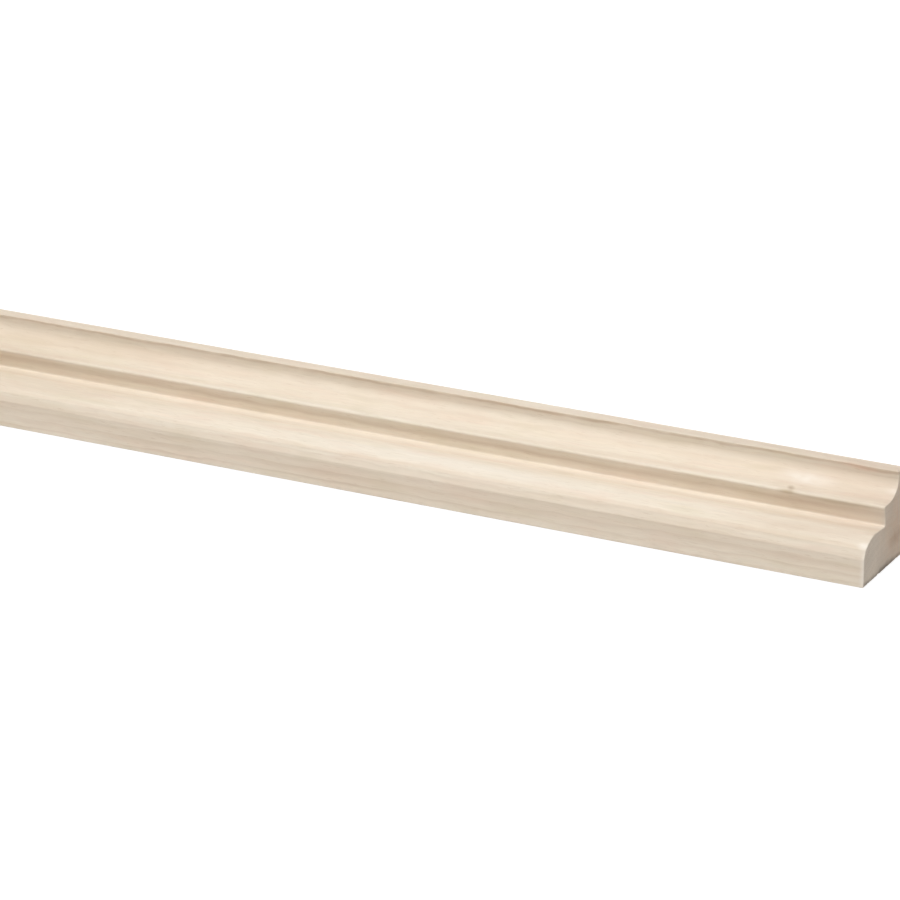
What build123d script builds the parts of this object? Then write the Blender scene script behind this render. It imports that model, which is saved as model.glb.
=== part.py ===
from build123d import *
import os

# One length of small timber cornice moulding, machined from a single piece of wood.
# It lies on its flat base, with the moulded side towards -Y and the flat back towards +Y.
# X runs along the stock, and the origin is under the middle of the stock, on the floor.

# Stock, in millimetres
stock_length = 2400.0

# Flat front face and the steep chamfer above it, with softened turns
face_height = 9.5
chamfer_depth = 1.15
chamfer_height = 2.95
chamfer_radius = 0.8

# Low ovolo, a round that comes level at its crest
ovolo_depth = 8.25
ovolo_height = 2.95

# Ledge behind the crest, falling a little towards the riser
ledge_depth = 8.1
ledge_fall = 0.5

# Riser, slightly hollow and leaning out to a small nose
riser_height = 6.55
riser_overhang = 1.4
riser_hollow = 0.23
foot_radius = 0.6
nose_radius = 0.9

# Shelf above the nose and the cove behind it, a hollow quarter ellipse
shelf_depth = 3.85
cove_depth = 8.15
cove_height = 5.6

# Band along the top and back, its front leaning out a little
band_height = 2.45
band_lean = 0.25
band_depth = 5.15

# Easing of the four sharp outer edges
arris_radius = 0.2

# The members add up to the overall depth, which is centred on the origin
lower_depth = chamfer_depth + ovolo_depth + ledge_depth - riser_overhang
upper_depth = shelf_depth + cove_depth - band_lean + band_depth
front = -(lower_depth + upper_depth) / 2
back = -front

os.makedirs("parts", exist_ok=True)

with BuildPart() as moulding:
    # Section, seen from the end of the stock, drawn from the base up the moulded side
    with BuildSketch(Plane.YZ) as section:
        with BuildLine():
            base = Line((back, 0), (front, 0))
            face = Line(base @ 1, base @ 1 + Vector(0, face_height))
            chamfer = Line(face @ 1, face @ 1 + Vector(chamfer_depth, chamfer_height))
            crest = chamfer @ 1 + Vector(ovolo_depth, ovolo_height)
            TangentArc(crest, chamfer @ 1, tangent=(-1, 0))
            ledge = Line(crest, crest + Vector(ledge_depth, -ledge_fall))
            nose = crest + Vector(ledge_depth - riser_overhang, riser_height)
            SagittaArc(ledge @ 1, nose, -riser_hollow)
            shelf = Line(nose, nose + Vector(shelf_depth, 0))
            cove_center = shelf @ 1 + Vector(0, cove_height)
            EllipticalCenterArc(cove_center, cove_depth, cove_height, -90, arc_size=90)
            band_foot = cove_center + Vector(cove_depth, 0)
            band = Line(band_foot, band_foot + Vector(-band_lean, band_height))
            top = Line(band @ 1, band @ 1 + Vector(band_depth, 0))
            Line(top @ 1, base @ 0)
        make_face()
        fillet(section.vertices().sort_by_distance(ledge @ 1)[0], foot_radius)
        fillet(section.vertices().sort_by_distance(nose)[0], nose_radius)
        for turn in (chamfer @ 0, chamfer @ 1):
            fillet(section.vertices().sort_by_distance(turn)[0], chamfer_radius)
        for arris in (base @ 0, base @ 1, top @ 0, top @ 1):
            fillet(section.vertices().sort_by_distance(arris)[0], arris_radius)
    # The stock runs the same distance to each side of the section
    extrude(amount=stock_length / 2, both=True)

moulding.part.label = "cornice_moulding"
export_step(moulding.part, "parts/cornice_moulding.step")
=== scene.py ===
"""Looks for one length of bare poplar cornice moulding, lying on a white studio floor.

Sizes are in millimetres in the fields and in metres in Blender. The stock runs along X, its moulded
side faces -Y and its base lies on Z = 0. The near end is the square cut at +X, and places on the
stick are measured from the lower front corner of that end.
"""

import logging
import math
from dataclasses import dataclass, field
from enum import Enum
from typing import Any

import bmesh
import bpy
from mathutils import Matrix, Vector, noise


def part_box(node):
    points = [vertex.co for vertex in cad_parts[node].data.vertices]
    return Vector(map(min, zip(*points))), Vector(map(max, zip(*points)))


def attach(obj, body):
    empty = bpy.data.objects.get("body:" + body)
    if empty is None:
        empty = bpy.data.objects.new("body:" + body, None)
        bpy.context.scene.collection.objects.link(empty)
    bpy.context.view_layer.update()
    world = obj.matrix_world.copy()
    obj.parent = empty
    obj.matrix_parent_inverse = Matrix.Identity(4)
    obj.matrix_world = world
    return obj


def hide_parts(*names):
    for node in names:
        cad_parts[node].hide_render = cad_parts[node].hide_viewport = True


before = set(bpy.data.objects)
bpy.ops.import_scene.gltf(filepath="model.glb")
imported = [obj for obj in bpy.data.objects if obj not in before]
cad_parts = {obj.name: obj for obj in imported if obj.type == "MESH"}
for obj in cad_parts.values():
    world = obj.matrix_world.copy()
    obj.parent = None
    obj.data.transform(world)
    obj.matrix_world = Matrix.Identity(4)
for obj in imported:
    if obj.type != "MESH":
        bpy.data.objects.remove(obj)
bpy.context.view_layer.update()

log = logging.getLogger("cornice_moulding")

MM = 0.001
NODE = "cornice_moulding"
BODY = "root"
NOISE_MIDDLE = (0.5, 0.5, 0.5)

Place = tuple[float, float, float]
Span = tuple[float, float]


class StockEnd(Enum):
    """The two square cuts of the stock, with the direction each one faces along X."""

    NEAR = 1
    FAR = -1


class Cut(Enum):
    """How a face was made, as the index of its material on the moulding."""

    PLANED = 0
    SAWN = 1


def linear(hex_colour: str) -> tuple[float, float, float, float]:
    """Turns an sRGB colour into the linear colour that shaders take.

    Args:
        hex_colour: six hex digits, such as "F3E5D1".

    Returns:
        Red, green, blue and an alpha of 1.
    """
    shares = [int(hex_colour[i:i + 2], 16) / 255 for i in (0, 2, 4)]
    values = [s / 12.92 if s <= 0.04045 else ((s + 0.055) / 1.055) ** 2.4 for s in shares]
    return values[0], values[1], values[2], 1.0


def add_node(tree: bpy.types.NodeTree, kind: str, inputs: dict[Any, Any] | None = None,
             **settings: Any) -> bpy.types.Node:
    """Adds one node to a tree.

    Args:
        tree: the node tree.
        kind: Blender's name for the node type.
        inputs: socket name or index to a value, or to another node's output socket.
        **settings: properties of the node itself.

    Returns:
        The new node.
    """
    node = tree.nodes.new(kind)
    for name, value in settings.items():
        setattr(node, name, value)
    for name, value in (inputs or {}).items():
        if isinstance(value, bpy.types.NodeSocket):
            tree.links.new(value, node.inputs[name])
        else:
            node.inputs[name].default_value = value
    return node


@dataclass(frozen=True)
class Patch:
    """A soft patch of another colour in the wood, such as a knot or a brown streak.

    An endless reach along X makes a streak that runs the whole length. A patch is broken up by noise
    of the given length along the grain, and loses the ragged share of its strength where it breaks.
    """

    centre: Place
    reach: Place
    colour: str
    strength: float
    lean_deg: float = 0.0
    broken_mm: float = 40.0
    ragged: float = 0.35


@dataclass(frozen=True)
class PoplarGrain:
    """Solid growth pattern of the stick, shared by its planed sides and sawn ends.

    Pale, fast-grown wood: rings about 2.6 mm apart round a pith that lies below the stick, wandering
    slowly along the length. A short ripple bends everything in the wood a little sideways.
    """

    corner: Vector
    ring_spacing: float = 2.6
    pith: tuple[float, float] = (23.5, -46.0)
    grain_slope_deg: float = 0.25
    wander: Place = (0.0, 1.1, 2.2)
    wander_size: Place = (80.0, 26.0, 26.0)
    ripple: Place = (0.0, 1.6, 1.6)
    ripple_size: Place = (12.0, 4.0, 4.0)
    bend_detail: float = 2.0
    bend_roughness: float = 0.45
    streak_roughness: float = 0.55
    knot_place: Place = (-33.0, 20.0, 21.8)
    swirl_reach: Place = (16.0, 7.0, 5.0)
    swirl_rings: float = 1.3
    # Years differ in width: slow noise along the count of rings pushes it on and back
    year_noise: float = 0.45
    year_push: float = 1.4
    # Shares of one year's growth at which late wood begins and is darkest
    late_begins: float = 0.30
    late_darkest: float = 0.90
    # Width of the noise that breaks up a patch, and the part of its range that does so
    break_width: float = 3.0
    break_range: Span = (0.35, 0.60)

    def place(self, tree: bpy.types.NodeTree) -> bpy.types.NodeSocket:
        """Adds the place in the wood.

        Args:
            tree: the material's node tree.

        Returns:
            Rippled coordinates in millimetres from the near end's lower front corner.
        """
        seen = add_node(tree, "ShaderNodeTexCoord")
        moved = add_node(tree, "ShaderNodeVectorMath",
                         {0: seen.outputs["Object"], 1: self.corner}, operation="SUBTRACT")
        sized = add_node(tree, "ShaderNodeVectorMath", {0: moved.outputs[0], "Scale": 1 / MM},
                         operation="SCALE")
        return self.bent(tree, sized.outputs[0], self.ripple_size, self.ripple)

    def bent(self, tree: bpy.types.NodeTree, place: bpy.types.NodeSocket, size: Place,
             reach: Place) -> bpy.types.NodeSocket:
        """Bends coordinates by noise.

        Args:
            tree: the material's node tree.
            place: coordinates in millimetres.
            size: length, width and height of a bend.
            reach: how far the noise can push along each axis.

        Returns:
            The bent coordinates.
        """
        sized = add_node(tree, "ShaderNodeVectorMath", {0: place, 1: size}, operation="DIVIDE")
        drift = add_node(tree, "ShaderNodeTexNoise",
                         {"Vector": sized.outputs[0], "Scale": 1.0, "Detail": self.bend_detail,
                          "Roughness": self.bend_roughness})
        evened = add_node(tree, "ShaderNodeVectorMath",
                          {0: drift.outputs["Color"], 1: NOISE_MIDDLE}, operation="SUBTRACT")
        pushed = add_node(tree, "ShaderNodeVectorMath", {0: evened.outputs[0], 1: reach, 2: place},
                          operation="MULTIPLY_ADD")
        return pushed.outputs[0]

    def streaks(self, tree: bpy.types.NodeTree, place: bpy.types.NodeSocket, size: Place,
                detail: float = 2.0) -> bpy.types.NodeSocket:
        """Adds streaks of a given size.

        Args:
            tree: the material's node tree.
            place: coordinates in millimetres.
            size: length, width and height of a streak.
            detail: how many finer layers are added.

        Returns:
            A value about 0.5, from 0 to 1.
        """
        sized = add_node(tree, "ShaderNodeVectorMath", {0: place, 1: size}, operation="DIVIDE")
        made = add_node(tree, "ShaderNodeTexNoise",
                        {"Vector": sized.outputs[0], "Scale": 1.0, "Detail": detail,
                         "Roughness": self.streak_roughness})
        return made.outputs[0]

    @staticmethod
    def spot(tree: bpy.types.NodeTree, place: bpy.types.NodeSocket, centre: Place,
             reach: Place, lean_deg: float = 0.0) -> bpy.types.NodeSocket:
        """Adds a soft round spot.

        Args:
            tree: the material's node tree.
            place: coordinates in millimetres.
            centre: the middle of the spot.
            reach: half sizes along each axis, before the lean.
            lean_deg: turn of the spot about the vertical.

        Returns:
            A value that falls from 1 in the middle to 0 at the edge.
        """
        centred = add_node(tree, "ShaderNodeVectorMath", {0: place, 1: centre},
                           operation="SUBTRACT")
        leaned = add_node(tree, "ShaderNodeVectorRotate",
                          {"Vector": centred.outputs[0], "Angle": math.radians(lean_deg)},
                          rotation_type="Z_AXIS")
        scaled = add_node(tree, "ShaderNodeVectorMath",
                          {0: leaned.outputs[0], 1: tuple(1 / size for size in reach)},
                          operation="MULTIPLY")
        far = add_node(tree, "ShaderNodeVectorMath", {0: scaled.outputs[0]}, operation="LENGTH")
        soft = add_node(tree, "ShaderNodeMapRange",
                        {"Value": far.outputs["Value"], "To Min": 1.0, "To Max": 0.0},
                        interpolation_type="SMOOTHSTEP")
        return soft.outputs[0]

    def rings(self, tree: bpy.types.NodeTree,
              place: bpy.types.NodeSocket) -> bpy.types.NodeSocket:
        """Adds the growth rings.

        Args:
            tree: the material's node tree.
            place: coordinates in millimetres.

        Returns:
            A value from 0 in early wood to 1 in late wood.
        """
        wandering = self.bent(tree, place, self.wander_size, self.wander)
        slope = math.radians(self.grain_slope_deg)
        turned = add_node(tree, "ShaderNodeMapping",
                          {"Vector": wandering,
                           "Location": (0.0, -self.pith[0], -self.pith[1]),
                           "Rotation": (0.0, slope, slope)}, vector_type="POINT")
        across = add_node(tree, "ShaderNodeVectorMath",
                          {0: turned.outputs[0], 1: (0.0, 1.0, 1.0)}, operation="MULTIPLY")
        radius = add_node(tree, "ShaderNodeVectorMath", {0: across.outputs[0]},
                          operation="LENGTH")
        count = add_node(tree, "ShaderNodeMath",
                         {0: radius.outputs["Value"], 1: self.ring_spacing}, operation="DIVIDE")
        swirl = self.spot(tree, place, self.knot_place, self.swirl_reach)
        pushed = add_node(tree, "ShaderNodeMath",
                          {0: swirl, 1: self.swirl_rings, 2: count.outputs[0]},
                          operation="MULTIPLY_ADD")
        years = add_node(tree, "ShaderNodeTexNoise",
                         {"W": pushed.outputs[0], "Scale": self.year_noise, "Detail": 1.0},
                         noise_dimensions="1D")
        uneven = add_node(tree, "ShaderNodeMath",
                          {0: years.outputs[0], 1: self.year_push, 2: pushed.outputs[0]},
                          operation="MULTIPLY_ADD")
        season = add_node(tree, "ShaderNodeMath", {0: uneven.outputs[0]}, operation="FRACT")
        rise = add_node(tree, "ShaderNodeMapRange",
                        {"Value": season.outputs[0], "From Min": self.late_begins,
                         "From Max": self.late_darkest}, interpolation_type="SMOOTHSTEP")
        drop = add_node(tree, "ShaderNodeMapRange",
                        {"Value": season.outputs[0], "From Min": self.late_darkest, "From Max": 1.0,
                         "To Min": 1.0, "To Max": 0.0}, interpolation_type="SMOOTHSTEP")
        late = add_node(tree, "ShaderNodeMath", {0: rise.outputs[0], 1: drop.outputs[0]},
                        operation="MULTIPLY")
        return late.outputs[0]

    def patched(self, tree: bpy.types.NodeTree, place: bpy.types.NodeSocket,
                colour: bpy.types.NodeSocket, patch: Patch) -> bpy.types.NodeSocket:
        """Lays one soft patch over a colour.

        Args:
            tree: the material's node tree.
            place: coordinates in millimetres.
            colour: the colour so far.
            patch: the patch to add.

        Returns:
            The colour with the patch in it.
        """
        size = (patch.broken_mm, self.break_width, self.break_width)
        broken = self.streaks(tree, place, size)
        share = add_node(tree, "ShaderNodeMapRange",
                         {"Value": broken, "From Min": self.break_range[0],
                          "From Max": self.break_range[1],
                          "To Min": patch.strength * (1 - patch.ragged), "To Max": patch.strength})
        spot = self.spot(tree, place, patch.centre, patch.reach, patch.lean_deg)
        amount = add_node(tree, "ShaderNodeMath", {0: spot, 1: share.outputs[0]},
                          operation="MULTIPLY")
        made = add_node(tree, "ShaderNodeMix",
                        {"Factor": amount.outputs[0], "A": colour, "B": linear(patch.colour)},
                        data_type="RGBA")
        return made.outputs["Result"]


@dataclass(frozen=True)
class PlanedPoplar:
    """Poplar straight off the moulder, bare and unsanded.

    Satin-dull and cream, with faint pinkish bands, fine fibres and short pores along the length.
    Painted shade lies as a brown line along the band's front, just under its arris.
    """

    grain: PoplarGrain
    early: str = "ECE0CE"
    late: str = "D3C0A9"
    warm: str = "E6D5C0"
    blush: str = "E4C8B4"
    olive: str = "D6CAAC"
    pore: str = "C4AC8F"
    ior: float = 1.46
    roughness: Span = (0.50, 0.66)
    dull_range: Span = (0.3, 0.7)
    # Slow clouds warm the wood and let the growth lines come and go, which show most on the lined face
    cloud_size: Place = (70.0, 6.0, 6.0)
    warm_range: Span = (0.35, 0.75)
    warm_share: float = 0.55
    line_range: Span = (0.3, 0.7)
    line_least: float = 0.10
    line_most: Span = (0.28, 0.72)
    lined_face: tuple[Place, Place] = ((0.0, 0.0, 4.0), (math.inf, 8.0, 13.0))
    # Sapwood blushes pink in places and turns olive in others
    tint_size: Place = (26.0, 5.0, 5.0)
    blush_range: Span = (0.52, 0.72)
    olive_range: Span = (0.48, 0.28)
    tint_share: float = 0.28
    # Real fibres and pores are under 0.1 mm wide, too fine to show, so both are drawn coarser
    fibre_size: Place = (60.0, 0.55, 0.55)
    fibre_detail: float = 3.0
    fibre_contrast: float = 0.025
    fleck_size: Place = (11.0, 1.1, 1.1)
    fleck_contrast: float = 0.035
    streak_range: Span = (0.25, 0.75)
    pore_size: Place = (5.0, 0.30, 0.30)
    pore_detail: float = 1.0
    pore_range: Span = (0.62, 0.74)
    pore_share: float = 0.30
    relief_strength: float = 0.12
    relief_depth: float = 0.06
    patches: tuple[Patch, ...] = (
        # Painted shade along the front of the band, just under its arris, as a broken brown line
        Patch((0.0, 27.8, 29.3), (math.inf, 0.65, 0.9), "AB845F", 0.47, broken_mm=16.0, ragged=0.3),
        # Browner layers along the cove, the band and the front face
        Patch((0.0, 26.0, 25.5), (math.inf, 9.0, 7.0), "D6C2AB", 0.24, broken_mm=80.0),
        Patch((0.0, 30.5, 30.2), (math.inf, 5.0, 1.5), "CBB7A2", 0.30, broken_mm=40.0),
        Patch((0.0, 0.0, 6.8), (math.inf, 2.5, 8.5), "DDC3AA", 0.28, broken_mm=200.0),
        # Paler stretch of the ovolo, and painted shade as a darker line along its foot
        Patch((-150.0, 5.5, 14.5), (75.0, 5.5, 3.0), "F5EEE3", 0.40, broken_mm=40.0),
        Patch((0.0, 1.5, 12.8), (math.inf, 1.4, 1.0), "DAC6AF", 0.55, broken_mm=60.0),
        # Painted highlight as a pale strip along the back of the ledge at the riser's foot, with a
        # faint pink line of painted shade in front of it
        Patch((0.0, 15.8, 15.0), (math.inf, 3.6, 1.4), "EFE6DA", 0.45, broken_mm=60.0),
        Patch((0.0, 12.2, 15.2), (math.inf, 1.0, 0.9), "DFC3AA", 0.18, broken_mm=18.0),
        # Painted shade along the riser under the nose, as a brown streak
        Patch((0.0, 17.0, 18.6), (math.inf, 1.8, 1.9), "BBA083", 0.38, broken_mm=40.0),
        # Duller shelf before the knot
        Patch((-75.0, 19.5, 21.9), (65.0, 3.0, 1.6), "D3BDA5", 0.28, broken_mm=20.0),
        # Pinkish brown on the riser towards the near end
        Patch((-55.0, 16.8, 18.0), (70.0, 2.5, 4.0), "CFAF92", 0.15, broken_mm=30.0),
        # Pale swirl beside the knot, the knot's olive smudge along the nose, and the knot itself
        Patch((-30.5, 24.8, 23.2), (13.0, 4.4, 4.4), "F8F1E6", 0.78, broken_mm=7.0, ragged=0.5),
        Patch((-33.6, 16.6, 21.2), (5.0, 1.4, 1.4), "B0966C", 0.70, broken_mm=6.0),
        Patch((-33.2, 18.6, 21.9), (1.8, 3.0, 1.8), "A68D6F", 0.75, lean_deg=-31.0, broken_mm=3.0),
        # Olive brown stain under the nose from the knot to the near end, which also deepens the
        # painted shade there
        Patch((-13.0, 16.3, 20.7), (26.0, 1.6, 1.4), "AB9877", 0.45, broken_mm=10.0),
        # Pink patch on the band's front at the near end
        Patch((-13.0, 28.0, 29.2), (9.0, 1.2, 1.6), "D9A78E", 0.55, broken_mm=12.0),
        # Brown patch under the band further along
        Patch((-280.0, 26.5, 25.3), (110.0, 5.0, 4.5), "CDB79F", 0.33),
        # Duller stretches here and there along the stick, the second of them at the near end
        Patch((-360.0, 14.0, 18.0), (125.0, 26.0, 26.0), "CBB598", 0.40, broken_mm=60.0),
        Patch((0.0, 16.0, 20.0), (60.0, 26.0, 20.0), "CDB5A0", 0.42, broken_mm=14.0),
        Patch((-930.0, 20.0, 20.0), (150.0, 26.0, 26.0), "CDB79B", 0.36, broken_mm=60.0),
        Patch((-1480.0, 8.0, 16.0), (190.0, 26.0, 26.0), "CFBAA1", 0.34, broken_mm=60.0),
        Patch((-2130.0, 16.0, 19.0), (140.0, 26.0, 26.0), "CBB598", 0.36, broken_mm=60.0),
        # Duller still on the band and the ovolo at the near end, and on the chamfer further along
        Patch((0.0, 30.5, 30.2), (150.0, 4.5, 1.2), "C7B29E", 0.70, broken_mm=20.0),
        Patch((-28.0, 4.5, 13.8), (34.0, 5.5, 3.6), "CDB7A0", 0.38, broken_mm=14.0),
        Patch((-370.0, 0.5, 10.0), (120.0, 2.5, 4.0), "CDB59B", 0.30, broken_mm=60.0),
        # Paler foot of the riser at the near end
        Patch((2.0, 16.8, 17.2), (30.0, 2.5, 3.4), "EBDECD", 0.62, broken_mm=14.0),
        # Bruised, paler fibres beside the saw cut, with painted highlights on its rim, most of all on
        # the front face and its ovolo
        Patch((0.0, 0.0, 4.0), (1.9, 4.0, 14.0), "F8EFE4", 0.70, broken_mm=8.0),
        Patch((-1.0, 2.6, 13.0), (3.2, 2.6, 2.2), "FBF4EA", 0.70, broken_mm=8.0),
        Patch((-1.0, 25.5, 24.2), (4.0, 2.0, 2.0), "F8ECE0", 0.60, broken_mm=8.0),
    )

    def material(self) -> bpy.types.Material:
        """Builds the material.

        Returns:
            The finished material.
        """
        made = bpy.data.materials.new("planed_poplar")
        made.use_nodes = True
        tree = made.node_tree
        tree.nodes.clear()
        place = self.grain.place(tree)
        fibres = self.grain.streaks(tree, place, self.fibre_size, self.fibre_detail)
        colour = self.lined(tree, place)
        colour = self.tinted(tree, place, colour)
        colour = self.streaked(tree, place, colour, fibres)
        colour = self.pored(tree, place, colour)
        for patch in self.patches:
            colour = self.grain.patched(tree, place, colour, patch)
        relief = add_node(tree, "ShaderNodeBump",
                          {"Height": fibres, "Strength": self.relief_strength,
                           "Distance": self.relief_depth * MM})
        dull = add_node(tree, "ShaderNodeMapRange",
                        {"Value": fibres, "From Min": self.dull_range[0],
                         "From Max": self.dull_range[1], "To Min": self.roughness[0],
                         "To Max": self.roughness[1]})
        shader = add_node(tree, "ShaderNodeBsdfPrincipled",
                          {"Base Color": colour, "Roughness": dull.outputs[0], "IOR": self.ior,
                           "Normal": relief.outputs[0]})
        add_node(tree, "ShaderNodeOutputMaterial", {"Surface": shader.outputs[0]})
        return made

    def lined(self, tree: bpy.types.NodeTree,
              place: bpy.types.NodeSocket) -> bpy.types.NodeSocket:
        """Adds the clouded body of the wood with its growth lines.

        The lines come and go along the stick, as the clouds do, and show most on the front face,
        which cuts straight across them.

        Args:
            tree: the material's node tree.
            place: coordinates in millimetres.

        Returns:
            The colour with the lines in it.
        """
        rings = self.grain.rings(tree, place)
        clouds = self.grain.streaks(tree, place, self.cloud_size)
        face = self.grain.spot(tree, place, *self.lined_face)
        most = add_node(tree, "ShaderNodeMapRange",
                        {"Value": face, "To Min": self.line_most[0], "To Max": self.line_most[1]})
        seen = add_node(tree, "ShaderNodeMapRange",
                        {"Value": clouds, "From Min": self.line_range[0],
                         "From Max": self.line_range[1], "To Min": self.line_least,
                         "To Max": most.outputs[0]})
        shown = add_node(tree, "ShaderNodeMath", {0: rings, 1: seen.outputs[0]},
                         operation="MULTIPLY")
        warmth = add_node(tree, "ShaderNodeMapRange",
                          {"Value": clouds, "From Min": self.warm_range[0],
                           "From Max": self.warm_range[1], "To Max": self.warm_share},
                          interpolation_type="SMOOTHSTEP")
        body = add_node(tree, "ShaderNodeMix",
                        {"Factor": warmth.outputs[0], "A": linear(self.early),
                         "B": linear(self.warm)}, data_type="RGBA")
        ringed = add_node(tree, "ShaderNodeMix",
                          {"Factor": shown.outputs[0], "A": body.outputs["Result"],
                           "B": linear(self.late)}, data_type="RGBA")
        return ringed.outputs["Result"]

    def tinted(self, tree: bpy.types.NodeTree, place: bpy.types.NodeSocket,
               colour: bpy.types.NodeSocket) -> bpy.types.NodeSocket:
        """Adds the pink and olive tints.

        Args:
            tree: the material's node tree.
            place: coordinates in millimetres.
            colour: the colour so far.

        Returns:
            The colour with the tints in it.
        """
        tints = self.grain.streaks(tree, place, self.tint_size)
        for tint, span in ((self.blush, self.blush_range), (self.olive, self.olive_range)):
            share = add_node(tree, "ShaderNodeMapRange",
                             {"Value": tints, "From Min": span[0], "From Max": span[1],
                              "To Max": self.tint_share})
            made = add_node(tree, "ShaderNodeMix",
                            {"Factor": share.outputs[0], "A": colour, "B": linear(tint)},
                            data_type="RGBA")
            colour = made.outputs["Result"]
        return colour

    def streaked(self, tree: bpy.types.NodeTree, place: bpy.types.NodeSocket,
                 colour: bpy.types.NodeSocket, fibres: bpy.types.NodeSocket) -> bpy.types.NodeSocket:
        """Adds the lighter and darker fibres and flecks.

        Args:
            tree: the material's node tree.
            place: coordinates in millimetres.
            colour: the colour so far.
            fibres: the fibres, as a value about 0.5.

        Returns:
            The colour with the streaks in it.
        """
        flecks = self.grain.streaks(tree, place, self.fleck_size)
        for streak, contrast in ((fibres, self.fibre_contrast), (flecks, self.fleck_contrast)):
            level = add_node(tree, "ShaderNodeMapRange",
                             {"Value": streak, "From Min": self.streak_range[0],
                              "From Max": self.streak_range[1], "To Min": 1 - contrast,
                              "To Max": 1 + contrast})
            made = add_node(tree, "ShaderNodeVectorMath",
                            {0: colour, "Scale": level.outputs[0]}, operation="SCALE")
            colour = made.outputs[0]
        return colour

    def pored(self, tree: bpy.types.NodeTree, place: bpy.types.NodeSocket,
              colour: bpy.types.NodeSocket) -> bpy.types.NodeSocket:
        """Adds the pores, as short darker dashes.

        Args:
            tree: the material's node tree.
            place: coordinates in millimetres.
            colour: the colour so far.

        Returns:
            The colour with the pores in it.
        """
        pores = self.grain.streaks(tree, place, self.pore_size, self.pore_detail)
        dashes = add_node(tree, "ShaderNodeMapRange",
                          {"Value": pores, "From Min": self.pore_range[0],
                           "From Max": self.pore_range[1], "To Max": self.pore_share},
                          interpolation_type="SMOOTHSTEP")
        made = add_node(tree, "ShaderNodeMix",
                        {"Factor": dashes.outputs[0], "A": colour, "B": linear(self.pore)},
                        data_type="RGBA")
        return made.outputs["Result"]


@dataclass(frozen=True)
class SawnPoplar:
    """The same poplar across the grain, cut by a circular saw.

    Greyer, darker and duller than the sides, because the open ends of the fibres hold the light.
    """

    grain: PoplarGrain
    early: str = "E0D2C1"
    late: str = "D0BDA7"
    pore: str = "A8947C"
    ior: float = 1.46
    roughness: float = 0.85
    ring_share: float = 0.18
    cloud_size: Place = (40.0, 6.0, 6.0)
    cloud_range: Span = (0.3, 0.7)
    cloud_level: Span = (0.95, 1.05)
    # Real pores are under 0.2 mm apart, too fine to show, so they are drawn coarser
    pore_pitch: float = 0.45
    pore_range: Span = (0.12, 0.35)
    pore_share: float = 0.35
    relief_strength: float = 0.25
    relief_depth: float = 0.1
    patches: tuple[Patch, ...] = (
        # Browner wood towards the back, with a brown spot in it
        Patch((0.0, 30.0, 12.0), (math.inf, 24.0, 26.0), "CFA682", 0.45),
        Patch((0.0, 27.0, 8.0), (math.inf, 9.0, 4.0), "A88464", 0.40, broken_mm=4.0),
        # Painted contact shadow as a dark line along the lower edge, deepest in the middle
        Patch((0.0, 16.5, -0.3), (math.inf, 60.0, 2.4), "5E554C", 0.75),
        Patch((0.0, 19.0, 0.0), (math.inf, 11.0, 3.4), "51483F", 0.60, broken_mm=3.0),
    )

    def material(self) -> bpy.types.Material:
        """Builds the material.

        Returns:
            The finished material.
        """
        made = bpy.data.materials.new("sawn_poplar_end_grain")
        made.use_nodes = True
        tree = made.node_tree
        tree.nodes.clear()
        place = self.grain.place(tree)
        rings = self.grain.rings(tree, place)
        clouds = self.grain.streaks(tree, place, self.cloud_size)
        dots = add_node(tree, "ShaderNodeTexVoronoi",
                        {"Vector": place, "Scale": 1 / self.pore_pitch})
        shown = add_node(tree, "ShaderNodeMath", {0: rings, 1: self.ring_share}, operation="MULTIPLY")
        ringed = add_node(tree, "ShaderNodeMix",
                          {"Factor": shown.outputs[0], "A": linear(self.early),
                           "B": linear(self.late)}, data_type="RGBA")
        pores = add_node(tree, "ShaderNodeMapRange",
                         {"Value": dots.outputs["Distance"], "From Min": self.pore_range[0],
                          "From Max": self.pore_range[1], "To Min": self.pore_share, "To Max": 0.0})
        pored = add_node(tree, "ShaderNodeMix",
                         {"Factor": pores.outputs[0], "A": ringed.outputs["Result"],
                          "B": linear(self.pore)}, data_type="RGBA")
        level = add_node(tree, "ShaderNodeMapRange",
                         {"Value": clouds, "From Min": self.cloud_range[0],
                          "From Max": self.cloud_range[1], "To Min": self.cloud_level[0],
                          "To Max": self.cloud_level[1]})
        scaled = add_node(tree, "ShaderNodeVectorMath",
                          {0: pored.outputs["Result"], "Scale": level.outputs[0]},
                          operation="SCALE")
        colour = scaled.outputs[0]
        for patch in self.patches:
            colour = self.grain.patched(tree, place, colour, patch)
        relief = add_node(tree, "ShaderNodeBump",
                          {"Height": dots.outputs["Distance"], "Strength": self.relief_strength,
                           "Distance": self.relief_depth * MM})
        shader = add_node(tree, "ShaderNodeBsdfPrincipled",
                          {"Base Color": colour, "Roughness": self.roughness, "IOR": self.ior,
                           "Normal": relief.outputs[0]})
        add_node(tree, "ShaderNodeOutputMaterial", {"Surface": shader.outputs[0]})
        return made


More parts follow.
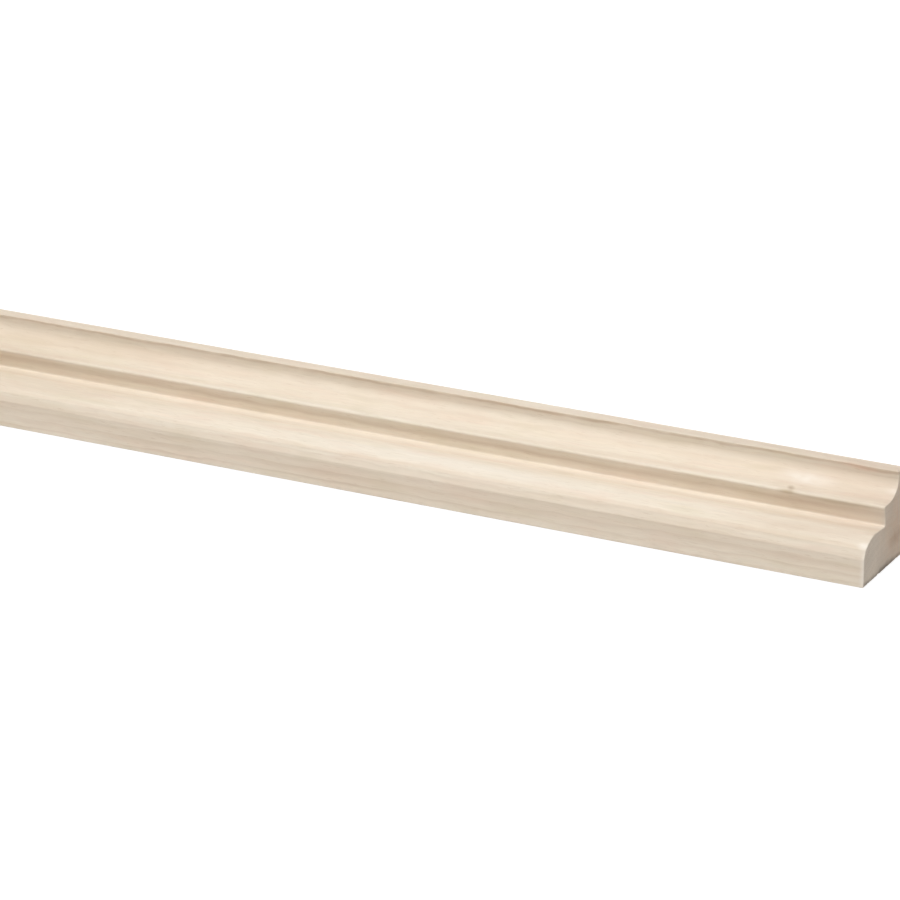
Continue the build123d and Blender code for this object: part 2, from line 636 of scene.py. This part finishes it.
@dataclass
class SectionPen:
    """Draws the section's outline as one chain of edges, member after member, in millimetres."""

    bm: bmesh.types.BMesh
    tip: bmesh.types.BMVert

    def line(self, depth: float, height: float) -> bmesh.types.BMVert:
        """Draws a straight run.

        Args:
            depth: how far the run goes back.
            height: how far it rises.

        Returns:
            The vertex that the run starts from.
        """
        start = self.tip
        self.tip = bmesh.ops.extrude_vert_indiv(self.bm, verts=[start])["verts"][0]
        bmesh.ops.translate(self.bm, verts=[self.tip], vec=Vector((0, depth, height)) * MM)
        return start

    def arc(self, centre: tuple[float, float], turn: float, steps: int,
            squash: tuple[float, float] = (1.0, 1.0)) -> bmesh.types.BMVert:
        """Draws a round run by turning the tip about a centre.

        Args:
            centre: the centre's depth and height from the tip.
            turn: the turn in radians, positive from back towards up.
            steps: how many straight edges the run is made of.
            squash: shares of the depth and height to keep, which make the arc an ellipse.

        Returns:
            The vertex that the run starts from.
        """
        start = self.tip
        middle = start.co + Vector((0, *centre)) * MM
        before = set(self.bm.verts)
        made = bmesh.ops.spin(self.bm, geom=[start], cent=middle, axis=(1, 0, 0), angle=turn,
                              steps=steps, use_duplicate=False)
        self.tip = [e for e in made["geom_last"] if isinstance(e, bmesh.types.BMVert)][0]
        run = [v for v in self.bm.verts if v not in before]
        bmesh.ops.scale(self.bm, verts=run, vec=(1, *squash), space=Matrix.Translation(-middle))
        return start

    def ease(self, corner: bmesh.types.BMVert, radius: float, steps: int) -> None:
        """Rounds one corner of the closed outline.

        Args:
            corner: the corner's vertex.
            radius: the radius of the round.
            steps: how many straight edges the round is made of.
        """
        one, other = [edge.other_vert(corner).co - corner.co for edge in corner.link_edges]
        setback = radius * MM / math.tan(one.angle(other) / 2)
        bmesh.ops.bevel(self.bm, geom=[corner], offset=setback, offset_type="OFFSET",
                        affect="VERTICES", segments=steps, profile=0.5, material=-1)


@dataclass
class MouldingSection:
    """Members of the section, from the front face up to the band, in millimetres."""

    face_height: float = 9.5
    chamfer_depth: float = 1.15
    chamfer_height: float = 2.95
    chamfer_radius: float = 0.8
    ovolo_depth: float = 8.25
    ovolo_height: float = 2.95
    ledge_depth: float = 8.1
    ledge_fall: float = 0.5
    riser_height: float = 6.55
    riser_overhang: float = 1.4
    riser_hollow: float = 0.23
    foot_radius: float = 0.6
    nose_radius: float = 0.9
    shelf_depth: float = 3.85
    cove_depth: float = 8.15
    cove_height: float = 5.6
    band_height: float = 2.45
    band_lean: float = 0.25
    band_depth: float = 5.15
    arris_radius: float = 0.2
    curve_steps: int = 18
    hollow_steps: int = 4
    round_steps: int = 6
    flat_step: float = 1.6

    def draw(self, bm: bmesh.types.BMesh, corner: Vector, depth: float,
             height: float) -> bmesh.types.BMFace:
        """Draws the closed section.

        Args:
            bm: an empty mesh.
            corner: where the lower front corner of the section lies, in metres.
            depth: the frame's depth, front face to back.
            height: the frame's height.

        Returns:
            The section as one face.
        """
        pen = SectionPen(bm, bm.verts.new(corner + Vector((0, depth, 0)) * MM))
        arrises = [pen.line(-depth, 0), pen.line(0, self.face_height)]
        turns = [pen.line(self.chamfer_depth, self.chamfer_height), self.draw_ovolo(pen)]
        pen.line(self.ledge_depth, -self.ledge_fall)
        foot = self.draw_riser(pen)
        nose = pen.line(self.shelf_depth, 0)
        pen.arc((0, self.cove_height), math.pi / 2, self.curve_steps,
                (self.cove_depth / self.cove_height, 1))
        pen.line(-self.band_lean, self.band_height)
        arrises += [pen.line(self.band_depth, 0), pen.line(0, -height)]
        bmesh.ops.weld_verts(bm, targetmap={pen.tip: arrises[0]})
        bmesh.ops.contextual_create(bm, geom=bm.edges[:])
        rounds = [(foot, self.foot_radius), (nose, self.nose_radius)]
        rounds += [(turn, self.chamfer_radius) for turn in turns]
        rounds += [(arris, self.arris_radius) for arris in arrises]
        for place, radius in rounds:
            pen.ease(place, radius, self.round_steps)
        for edge in bm.edges[:]:
            cuts = math.ceil(edge.calc_length() / (self.flat_step * MM)) - 1
            if cuts > 0:
                bmesh.ops.subdivide_edges(bm, edges=[edge], cuts=cuts)
        return bm.faces[:][0]

    def draw_ovolo(self, pen: SectionPen) -> bmesh.types.BMVert:
        """Draws the low ovolo, level at its crest.

        Args:
            pen: the pen that draws the section.

        Returns:
            The vertex that the ovolo starts from.
        """
        radius = (self.ovolo_depth ** 2 + self.ovolo_height ** 2) / (2 * self.ovolo_height)
        turn = math.asin(self.ovolo_depth / radius)
        return pen.arc((self.ovolo_depth, self.ovolo_height - radius), -turn, self.curve_steps)

    def draw_riser(self, pen: SectionPen) -> bmesh.types.BMVert:
        """Draws the hollow riser, leaning out.

        Args:
            pen: the pen that draws the section.

        Returns:
            The vertex at the riser's foot.
        """
        chord = Vector((-self.riser_overhang, self.riser_height + self.ledge_fall))
        turn = 4 * math.atan(2 * self.riser_hollow / chord.length)
        outward = Vector((-chord.y, chord.x))
        centre = chord / 2 + outward / (2 * math.tan(turn / 2))
        return pen.arc((centre.x, centre.y), turn, self.hollow_steps)


@dataclass
class MouldingStick:
    """The whole length of moulding: one piece of wood with planed sides and sawn ends."""

    low: Vector
    high: Vector
    section: MouldingSection = field(default_factory=MouldingSection)
    station: float = 10.0
    end_zone: float = 60.0
    end_station: float = 2.0
    # How near places count as the same, and how much of an end face's normal lies along X at least
    hair: float = 0.01
    square: float = 0.99
    rim: float = 0.3
    rim_steps: int = 2
    saw_zone: float = 1.5
    saw_cell: float = 0.6
    saw_relief: float = 0.015
    saw_pitch: float = 1.3
    saw_radius: float = 150.0
    chip: float = 0.9
    chip_pitch: float = 1.7
    chip_bias: float = 0.1
    waver: float = 0.05
    # Noise per metre, for the torn fibres of the saw cut and for the waver of the planed faces
    torn_rate: float = 700.0
    waver_rate: Place = (45.0, 160.0, 160.0)
    base_clear: float = 0.02
    crisp_deg: float = 32.0

    @property
    def near_corner(self) -> Vector:
        """Lower front corner of the photographed end."""
        return Vector((self.high.x, self.low.y, self.low.z))

    def build(self) -> bpy.types.Object:
        """Builds and dresses the stick.

        Returns:
            The finished piece, riding on the frame in place of its plain solid.
        """
        bm = bmesh.new()
        self.run_stock(bm)
        self.break_rims(bm)
        for end in StockEnd:
            self.saw_end(bm, end)
        self.let_waver(bm)
        self.shade(bm)
        mesh = bpy.data.meshes.new("moulding_stick")
        bm.to_mesh(mesh)
        bm.free()
        piece = bpy.data.objects.new("moulding_stick", mesh)
        bpy.context.scene.collection.objects.link(piece)
        grain = PoplarGrain(self.near_corner)
        mesh.materials.append(PlanedPoplar(grain).material())
        mesh.materials.append(SawnPoplar(grain).material())
        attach(piece, BODY)
        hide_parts(NODE)
        return piece

    def run_stock(self, bm: bmesh.types.BMesh) -> None:
        """Draws the section at the far end and runs it to the near end, finer towards both ends.

        Args:
            bm: an empty mesh.
        """
        size = (self.high - self.low) / MM
        face = self.section.draw(bm, self.low.copy(), size.y, size.z)
        run = bmesh.ops.extrude_face_region(bm, geom=[face])
        verts = [e for e in run["geom"] if isinstance(e, bmesh.types.BMVert)]
        bmesh.ops.translate(bm, verts=verts, vec=(self.high.x - self.low.x, 0, 0))
        bmesh.ops.recalc_face_normals(bm, faces=bm.faces[:])
        longways = [e for e in bm.edges if e.calc_length() > size.x * MM / 2]
        bmesh.ops.subdivide_edges(bm, edges=longways, cuts=round(size.x / self.station) - 1,
                                  use_grid_fill=True)
        middle = (self.low.x + self.high.x) / 2
        inner = (size.x / 2 - self.end_zone) * MM
        outer = [e for e in bm.edges if abs(e.verts[0].co.x - e.verts[1].co.x) > self.station * MM / 2
                 and min(abs(v.co.x - middle) for v in e.verts) > inner - self.hair * MM]
        bmesh.ops.subdivide_edges(bm, edges=outer, cuts=round(self.station / self.end_station) - 1,
                                  use_grid_fill=True)
        # The operators round a little differently from run to run, so each station is set exactly
        finest = size.x / round(size.x / self.station) / round(self.station / self.end_station) * MM
        for vert in bm.verts:
            vert.co.x = self.low.x + round((vert.co.x - self.low.x) / finest) * finest

    def end_plane(self, end: StockEnd) -> float:
        """Gives where one end lies along X, in metres."""
        return self.high.x if end is StockEnd.NEAR else self.low.x

    def end_faces(self, bm: bmesh.types.BMesh, end: StockEnd) -> list[bmesh.types.BMFace]:
        """Finds the flat faces of one sawn end.

        Args:
            bm: the stick's mesh.
            end: which end to look at.

        Returns:
            The faces.
        """
        at = self.end_plane(end)
        bm.normal_update()
        return [f for f in bm.faces if f.normal.x * end.value > self.square
                and abs(f.calc_center_median().x - at) < self.hair * MM]

    def break_rims(self, bm: bmesh.types.BMesh) -> None:
        """Takes the sharpness off the rims of both ends, as handling does."""
        rims = [e for end in StockEnd for f in self.end_faces(bm, end) for e in f.edges]
        bmesh.ops.bevel(bm, geom=rims, offset=self.rim * MM, offset_type="OFFSET",
                        affect="EDGES", segments=self.rim_steps, profile=0.5, material=-1)

    def saw_end(self, bm: bmesh.types.BMesh, end: StockEnd) -> None:
        """Cuts one end into cells and gives it saw marks and a chipped lower edge.

        Args:
            bm: the stick's mesh.
            end: which end to saw.
        """
        at = self.end_plane(end)
        cell = self.saw_cell * MM
        zone = [f for f in bm.faces if abs(f.calc_center_median().x - at) < self.saw_zone * MM]
        geom = [*zone, *{e for f in zone for e in f.edges}, *{v for f in zone for v in f.verts}]
        size = self.high - self.low
        for across, span in ((Vector((0, 1, 0)), size.y), (Vector((0, 0, 1)), size.z)):
            for step in range(1, round(span / cell)):
                cut = bmesh.ops.bisect_plane(bm, geom=geom, plane_no=across,
                                             plane_co=self.low + across * step * cell)
                geom = cut["geom"]
        sawn = self.end_faces(bm, end)
        for face in sawn:
            face.material_index = Cut.SAWN.value
        hub = Vector((0, self.low.y - self.saw_radius * MM, self.high.z))
        for vert in {v for f in sawn for v in f.verts}:
            if any(f.material_index == Cut.PLANED.value for f in vert.link_faces):
                continue
            sweep = (Vector((0, vert.co.y, vert.co.z)) - hub).length / MM
            tooth = 0.5 + 0.5 * math.sin(math.tau * sweep / self.saw_pitch)
            torn = 0.5 + 0.5 * noise.noise(vert.co * self.torn_rate)
            vert.co.x -= end.value * self.saw_relief * MM * (tooth + torn) / 2
        self.chip_edge([e for e in geom if isinstance(e, bmesh.types.BMVert)], end)

    def chip_edge(self, verts: list[bmesh.types.BMVert], end: StockEnd) -> None:
        """Breaks small chips out of the lower edge of an end, where the saw came through.

        Args:
            verts: the vertices near the end.
            end: which end they are at.
        """
        at = self.end_plane(end)
        for vert in verts:
            along = Vector((end.value, (vert.co.y - self.low.y) / MM / self.chip_pitch, 0))
            bite = self.chip * max(0.0, noise.noise(along) + self.chip_bias)
            reach = bite - (vert.co.z - self.low.z) / MM
            inside = (at - vert.co.x) * end.value / MM
            if inside < reach:
                vert.co.x -= end.value * (reach - inside) * MM

    def let_waver(self, bm: bmesh.types.BMesh) -> None:
        """Lets the planed faces waver a little, inwards only, so that no edge is ruler-straight.

        Args:
            bm: the stick's mesh.
        """
        middle = (self.low + self.high) / 2
        rate = Vector(self.waver_rate)
        for vert in bm.verts:
            if any(f.material_index == Cut.SAWN.value for f in vert.link_faces):
                continue
            lean = 0.5 + 0.5 * noise.noise(vert.co * rate)
            inward = Vector((0, middle.y - vert.co.y, middle.z - vert.co.z)).normalized()
            if vert.co.z > self.low.z + self.base_clear * MM:
                vert.co += inward * self.waver * MM * max(0.0, min(1.0, lean))

    def shade(self, bm: bmesh.types.BMesh) -> None:
        """Smooths the rounds and keeps the real corners crisp.

        Args:
            bm: the stick's mesh.
        """
        bmesh.ops.recalc_face_normals(bm, faces=bm.faces[:])
        for face in bm.faces:
            face.smooth = True
        for edge in bm.edges:
            edge.smooth = edge.calc_face_angle(0.0) < math.radians(self.crisp_deg)


@dataclass(frozen=True)
class Lamp:
    """A soft studio light far away. An azimuth of 0 is in front, and 90 is at the near end."""

    name: str
    strength: float
    soft_deg: float
    elevation_deg: float
    azimuth_deg: float


@dataclass
class Studio:
    """White floor, soft light and the photograph's camera. Distances are in metres."""

    floor_half: float = 60.0
    floor_drop_mm: float = 0.2
    floor_colour: str = "DCDCDC"
    seen_colour: str = "9A9A9A"
    seen_glow: float = 0.80
    sky_strength: float = 0.10
    # A large key light high in front, a weak fill behind, and a low lamp that lights the flat back
    lamps: tuple[Lamp, ...] = (
        Lamp("key", strength=2.9, soft_deg=60.0, elevation_deg=65.0, azimuth_deg=4.0),
        Lamp("back_fill", strength=0.30, soft_deg=60.0, elevation_deg=45.0, azimuth_deg=180.0),
        Lamp("low_rear", strength=1.5, soft_deg=8.0, elevation_deg=3.0, azimuth_deg=180.0),
    )
    lens_mm: float = 169.03
    camera_reach: float = 240.0
    camera_azimuth_deg: float = 27.28
    camera_elevation_deg: float = 20.638
    camera_from_corner: Place = (0.4497, -1.1568, 0.5116)

    def build(self, corner: Vector) -> None:
        """Sets the stage.

        Args:
            corner: the near end's lower front corner, which the camera is placed from.
        """
        bpy.context.scene.view_settings.view_transform = "Standard"
        self.lay_floor()
        self.fill_sky()
        for lamp in self.lamps:
            self.hang(lamp)
        self.stand_camera(corner)

    @staticmethod
    def seen_rays(tree: bpy.types.NodeTree) -> bpy.types.NodeSocket:
        """Tells the rays that show the background from those that light things.

        Args:
            tree: the node tree of the floor's paper or the sky.

        Returns:
            A value that is 1 for rays that show and 0 for rays that light.
        """
        path = add_node(tree, "ShaderNodeLightPath")
        mirrored = add_node(tree, "ShaderNodeMath",
                            {0: path.outputs["Is Camera Ray"], 1: path.outputs["Is Glossy Ray"]},
                            operation="MAXIMUM")
        seen = add_node(tree, "ShaderNodeMath",
                        {0: mirrored.outputs[0], 1: path.outputs["Is Transmission Ray"]},
                        operation="MAXIMUM")
        return seen.outputs[0]

    def lay_floor(self) -> None:
        """Lays a white floor that keeps a soft shadow of the stick."""
        bm = bmesh.new()
        bmesh.ops.create_grid(bm, x_segments=1, y_segments=1, size=self.floor_half)
        mesh = bpy.data.meshes.new("studio_floor")
        bm.to_mesh(mesh)
        bm.free()
        made = bpy.data.objects.new("studio_floor", mesh)
        made.location.z = -self.floor_drop_mm * MM
        bpy.context.scene.collection.objects.link(made)
        # Matt white paper: it shows as white, and its even bounce lights the faces near it
        paper = bpy.data.materials.new("matt_white_paper")
        paper.use_nodes = True
        tree = paper.node_tree
        tree.nodes.clear()
        seen = self.seen_rays(tree)
        tone = add_node(tree, "ShaderNodeMix",
                        {"Factor": seen, "A": linear(self.floor_colour),
                         "B": linear(self.seen_colour)}, data_type="RGBA")
        matt = add_node(tree, "ShaderNodeBsdfDiffuse", {"Color": tone.outputs["Result"]})
        level = add_node(tree, "ShaderNodeMath", {0: seen, 1: self.seen_glow}, operation="MULTIPLY")
        glow = add_node(tree, "ShaderNodeEmission", {"Strength": level.outputs[0]})
        both = add_node(tree, "ShaderNodeAddShader", {0: matt.outputs[0], 1: glow.outputs[0]})
        add_node(tree, "ShaderNodeOutputMaterial", {"Surface": both.outputs[0]})
        mesh.materials.append(paper)

    def fill_sky(self) -> None:
        """Fills the room with even light, and shows white behind the stick."""
        world = bpy.data.worlds.new("studio")
        bpy.context.scene.world = world
        world.use_nodes = True
        tree = world.node_tree
        tree.nodes.clear()
        level = add_node(tree, "ShaderNodeMapRange",
                         {"Value": self.seen_rays(tree), "To Min": self.sky_strength, "To Max": 1.0})
        back = add_node(tree, "ShaderNodeBackground", {"Strength": level.outputs[0]})
        add_node(tree, "ShaderNodeOutputWorld", {"Surface": back.outputs[0]})

    @staticmethod
    def direction(azimuth_deg: float, elevation_deg: float) -> Vector:
        """Works out which way a lamp or a camera looks.

        Args:
            azimuth_deg: where it stands round the stick, from the front towards the near end.
            elevation_deg: how high it stands.

        Returns:
            A vector of length 1 from it towards the stick.
        """
        azimuth = math.radians(azimuth_deg)
        elevation = math.radians(elevation_deg)
        return Vector((-math.sin(azimuth) * math.cos(elevation),
                       math.cos(azimuth) * math.cos(elevation), -math.sin(elevation)))

    def hang(self, lamp: Lamp) -> None:
        """Hangs one light, aimed at the stick.

        Args:
            lamp: the light's strength, softness and place.
        """
        light = bpy.data.lights.new(lamp.name, "SUN")
        light.energy = lamp.strength
        light.angle = math.radians(lamp.soft_deg)
        made = bpy.data.objects.new(lamp.name, light)
        way = self.direction(lamp.azimuth_deg, lamp.elevation_deg)
        made.rotation_euler = way.to_track_quat("-Z", "Y").to_euler()
        bpy.context.scene.collection.objects.link(made)

    def stand_camera(self, corner: Vector) -> None:
        """Stands the camera where the photograph was taken from.

        Args:
            corner: the near end's lower front corner, in metres.
        """
        lens = bpy.data.cameras.new("photograph")
        lens.lens = self.lens_mm
        lens.clip_end = self.camera_reach
        made = bpy.data.objects.new("photograph", lens)
        made.location = corner + Vector(self.camera_from_corner)
        way = self.direction(self.camera_azimuth_deg, self.camera_elevation_deg)
        made.rotation_euler = way.to_track_quat("-Z", "Y").to_euler()
        bpy.context.scene.collection.objects.link(made)
        bpy.context.scene.camera = made


def main() -> None:
    """Builds the stick and the studio, and logs how many faces and triangles the dressed stick has."""
    logging.basicConfig(level=logging.INFO, format="%(name)s: %(message)s")
    low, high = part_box(NODE)
    stick = MouldingStick(low, high)
    piece = stick.build()
    piece.data.calc_loop_triangles()
    log.info("%s: %d faces, %d triangles", piece.name, len(piece.data.polygons),
             len(piece.data.loop_triangles))
    Studio().build(stick.near_corner)
    log.info("sizes written")


if __name__ == "__main__":
    main()
